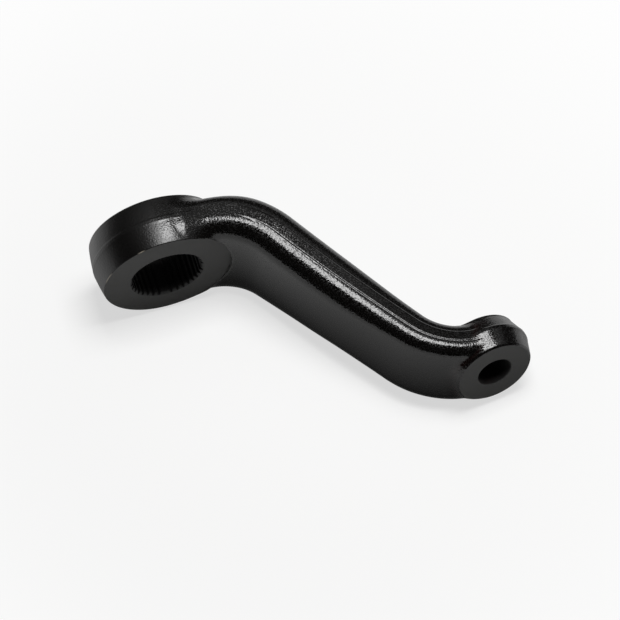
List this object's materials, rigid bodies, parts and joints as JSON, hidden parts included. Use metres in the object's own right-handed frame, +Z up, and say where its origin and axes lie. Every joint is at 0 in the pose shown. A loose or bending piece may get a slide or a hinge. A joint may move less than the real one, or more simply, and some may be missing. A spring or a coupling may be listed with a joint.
{
  "type": "pitman arm",
  "caption": "Drop-forged steering arm: a large eye with a tapered serrated bore, an S-bent body and a small eye with a tapered stud hole.",
  "frame": {"origin": "middle of the sector shaft bore, half way between the nut face and the gearbox face", "axes": "+Y along the sector shaft bore towards the gearbox, +X along the reach towards the small eye, +Z up with the arm lying on its flank"},
  "size_m": [0.188, 0.121, 0.0666],
  "materials": {
    "black_coated_forging": "gloss black coat over a forged steel skin"
  },
  "bodies": {
    "root": {"pitman_arm": "black_coated_forging"}
  },
  "joints": []
}
